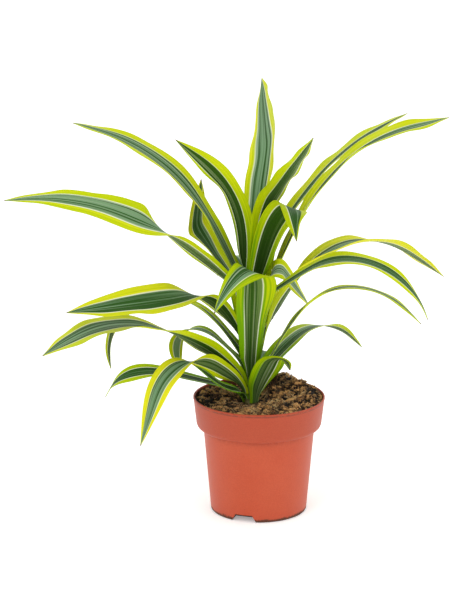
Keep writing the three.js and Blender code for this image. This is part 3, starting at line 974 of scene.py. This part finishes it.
class DRACAENA_OT_leaves(PieceOperator):
    """Make the leaves: channelled striped blades that clasp the stem, rise and arch over."""

    bl_idname = "dracaena.leaves"
    bl_label = "Leaves"

    def frames(self, leaf):
        """Along a leaf: the centre, the side and the upward direction, close together."""
        clasp = stem_radius(leaf["base"]) + GAP + HALF_BLADE
        wrap = min(CLASP_WRAP, leaf["width"] * BASE_WIDTH / 2 / clasp)
        radius = clasp / math.cos(wrap / CLASP_STRIPS)
        bend, ease = leaf["bend"], leaf["ease"]
        centre, last, found = None, None, []
        for step in range(FINE_STEPS + 1):
            t = step / FINE_STEPS
            past = smooth(t, bend - ease, bend + ease)
            yaw = math.radians(leaf["angle"] + leaf["sway"] * past)
            free = mix(leaf["rise"], leaf["drop"], past)
            held = math.exp(-t * leaf["length"] / CLASP_LENGTH)
            pitch = math.radians(mix(free, max(free, CLASP_PITCH), held))
            level = math.cos(pitch)
            along = Vector((math.cos(yaw) * level, math.sin(yaw) * level, math.sin(pitch)))
            turned = leaf["turn"] * smooth(t, leaf["neck"] - NECK_EASE, leaf["neck"] + NECK_EASE)
            roll = math.radians(leaf["roll"] * smooth(t, 0, ROLL_BY) + turned)
            side = Vector((-math.sin(yaw), math.cos(yaw), 0))
            side.rotate(Quaternion(along, roll))
            if step:
                centre = centre + (along + last).normalized() * leaf["length"] / FINE_STEPS
            else:
                out = Vector((math.cos(yaw), math.sin(yaw)))
                centre = Vector((*(STEM_AT + out * radius), leaf["base"]))
            last = along
            found.append((centre, side, along.cross(side)))
        return found, radius, wrap

    def blade_place(self, leaf, index, frames, radius, wrap, across, t):
        """A point of a blade's middle layer, by its place across (-1 to 1) and along (0 to 1)."""
        centre, side, up = frames[round(t * FINE_STEPS)]
        s = t * leaf["length"]
        low, middle, high = CHANNEL_RADII
        if t < CHANNEL_MIDDLE:
            flat = mix(low, middle, t / CHANNEL_MIDDLE)
        else:
            flat = mix(middle, high, (t - CHANNEL_MIDDLE) / (1 - CHANNEL_MIDDLE))
        if t < 0.5:
            wide = BASE_WIDTH + (1 - BASE_WIDTH) * math.sin(math.pi * t) ** BASE_CURVE
        else:
            wide = 1 - ((t - 0.5) / 0.5) ** TIP_CURVE
        bow = mix(radius, flat, smooth(s, 0, CLASP_OPEN))
        opened = smooth(s, 0, CLASP_OPEN / 2)
        half = max(mix(2 * wrap * radius, leaf["width"] * wide, opened), TIP_WIDTH) / 2
        waving = smooth(s, WAVE_START, WAVE_START + WAVE_RISE) * smooth(1 - t, 0, WAVE_END)
        phase = 2.4 * index + (1.9 if across < 0 else 0)
        wave = WAVE_HEIGHT * across**2 * math.sin(math.tau * s / WAVE_LENGTH + phase)
        flutter = noise.noise(Vector((s / RIPPLE_LENGTH, 7.0 * index, 2.0 * across)))
        wave += RIPPLE_HEIGHT * abs(across) ** 3 * flutter
        lean = half * across / bow
        normal = up * math.cos(lean) - side * math.sin(lean)
        place = centre + side * math.sin(lean) * bow + up * (1 - math.cos(lean)) * bow
        return place + normal * wave * waving

    def execute(self, context):
        settings = context.scene.dracaena_leaf
        upper = leaf_face("leaf_upper_face", settings, settings.band, settings.sage, 0.42)
        under = leaf_face("leaf_under_face", settings, settings.under, settings.under_pale, 0.46)
        for index, leaf in enumerate(LEAVES):
            frames, radius, wrap = self.frames(leaf)
            deselect()
            bpy.ops.mesh.primitive_grid_add(
                x_subdivisions=CELLS_ACROSS, y_subdivisions=CELLS_ALONG, size=2
            )
            blade = bpy.context.object
            mesh = blade.data
            mesh.uv_layers[0].name = "blade"
            mesh.materials.append(upper)
            mesh.materials.append(under)
            middle = blade.vertex_groups.new(name="middle")
            for vertex in mesh.vertices:
                # The grid's own right is the blade's left, so that its upper face looks up
                across, t = -vertex.co.x, (vertex.co.y + 1) / 2
                middle.add([vertex.index], 1 - abs(across) ** 3, "REPLACE")
                vertex.co = self.blade_place(leaf, index, frames, radius, wrap, across, t) * MM
            modify(
                blade, "SOLIDIFY", thickness=settings.blade, offset=0, material_offset=1,
                vertex_group="middle", thickness_vertex_group=settings.rim,
            )  # fmt: skip
            modify(blade, "SUBSURF", levels=1, render_levels=1)
            only(blade)
            bpy.ops.object.shade_smooth()
            blade.vertex_groups.clear()
            draw = random.Random(100 + index)
            # The band's paleness goes with each leaf, partly as painted sheen and shade
            facts = {
                "leaf": (draw.random(), leaf["pale"], leaf["length"] * MM),
                "stripe": (leaf["band"], leaf["lean"], leaf["lime"]),
            }
            for key, value in facts.items():
                layer = mesh.attributes.new(key, "FLOAT_VECTOR", "POINT")
                layer.data.foreach_set("vector", value * len(mesh.vertices))
            name = f"{index + 1:02d}"
            settle(blade, "blade_" + name, None, "leaf_" + name)
        return {"FINISHED"}


class DRACAENA_OT_stage(PieceOperator):
    """Set the pale floor, the soft light and the camera."""

    bl_idname = "dracaena.stage"
    bl_label = "Stage"

    def execute(self, context):
        settings = context.scene.dracaena_stage
        deselect()
        bpy.ops.mesh.primitive_plane_add(size=FLOOR_SIZE, location=(0, 0, -FLOOR_DROP))
        floor = bpy.context.object
        floor.name = "floor"
        g = Graph("pale_floor")
        pale = (*settings.floor, 1)
        finish = g.finish(
            base_color=pale, roughness=0.9, emission_color=pale, emission_strength=settings.glow
        )
        floor.data.materials.append(finish)

        world = context.scene.world or bpy.data.worlds.new("sky")
        context.scene.world = world
        world.use_nodes = True
        sky = world.node_tree.nodes["Background"]
        sky.inputs["Color"].default_value = (1, 1, 1, 1)
        sky.inputs["Strength"].default_value = settings.sky

        for name, part, size, at in LIGHTS:
            bpy.ops.object.light_add(type="AREA", location=at)
            light = context.object
            light.name = name
            light.data.energy, light.data.size = settings.key * part, size
            aim = LIT_POINT - Vector(at)
            light.rotation_euler = aim.to_track_quat("-Z", "Y").to_euler()

        tilt = (math.radians(90 - CAMERA_DOWN), 0, 0)
        bpy.ops.object.camera_add(location=CAMERA_AT, rotation=tilt)
        camera = context.object
        camera.data.sensor_width, camera.data.lens = CAMERA_SENSOR, CAMERA_LENS
        camera.data.clip_start, camera.data.clip_end = CAMERA_CLIP
        context.scene.camera = camera
        context.scene.view_settings.view_transform = "Standard"
        return {"FINISHED"}


class DRACAENA_PT_panel(bpy.types.Panel):
    """The sidebar's list of the pieces and their settings."""

    bl_label = "Potted Dracaena"
    bl_idname = "DRACAENA_PT_panel"
    bl_space_type = "VIEW_3D"
    bl_region_type = "UI"
    bl_category = "Dracaena"

    def draw(self, context):
        for name, (group, operators) in PARTS.items():
            box = self.layout.box()
            settings = getattr(context.scene, name)
            for key in group.__annotations__:
                box.prop(settings, key)
            for operator in operators:
                box.operator(operator.bl_idname)


PARTS = {
    "dracaena_stage": (StageSettings, [DRACAENA_OT_stage]),
    "dracaena_pot": (PotSettings, [DRACAENA_OT_pot]),
    "dracaena_peat": (PeatSettings, [DRACAENA_OT_peat, DRACAENA_OT_crumbs]),
    "dracaena_stem": (StemSettings, [DRACAENA_OT_stem]),
    "dracaena_leaf": (LeafSettings, [DRACAENA_OT_leaves]),
}


def register():
    for name, (group, operators) in PARTS.items():
        bpy.utils.register_class(group)
        setattr(bpy.types.Scene, name, bpy.props.PointerProperty(type=group))
        for operator in operators:
            bpy.utils.register_class(operator)
    bpy.utils.register_class(DRACAENA_PT_panel)


def unregister():
    bpy.utils.unregister_class(DRACAENA_PT_panel)
    for name, (group, operators) in reversed(PARTS.items()):
        for operator in reversed(operators):
            bpy.utils.unregister_class(operator)
        delattr(bpy.types.Scene, name)
        bpy.utils.unregister_class(group)


def main():
    register()
    bpy.ops.dracaena.stage()
    bpy.ops.dracaena.pot()
    bpy.ops.dracaena.peat()
    bpy.ops.dracaena.crumbs()
    bpy.ops.dracaena.stem()
    bpy.ops.dracaena.leaves()


if __name__ == "__main__":
    main()
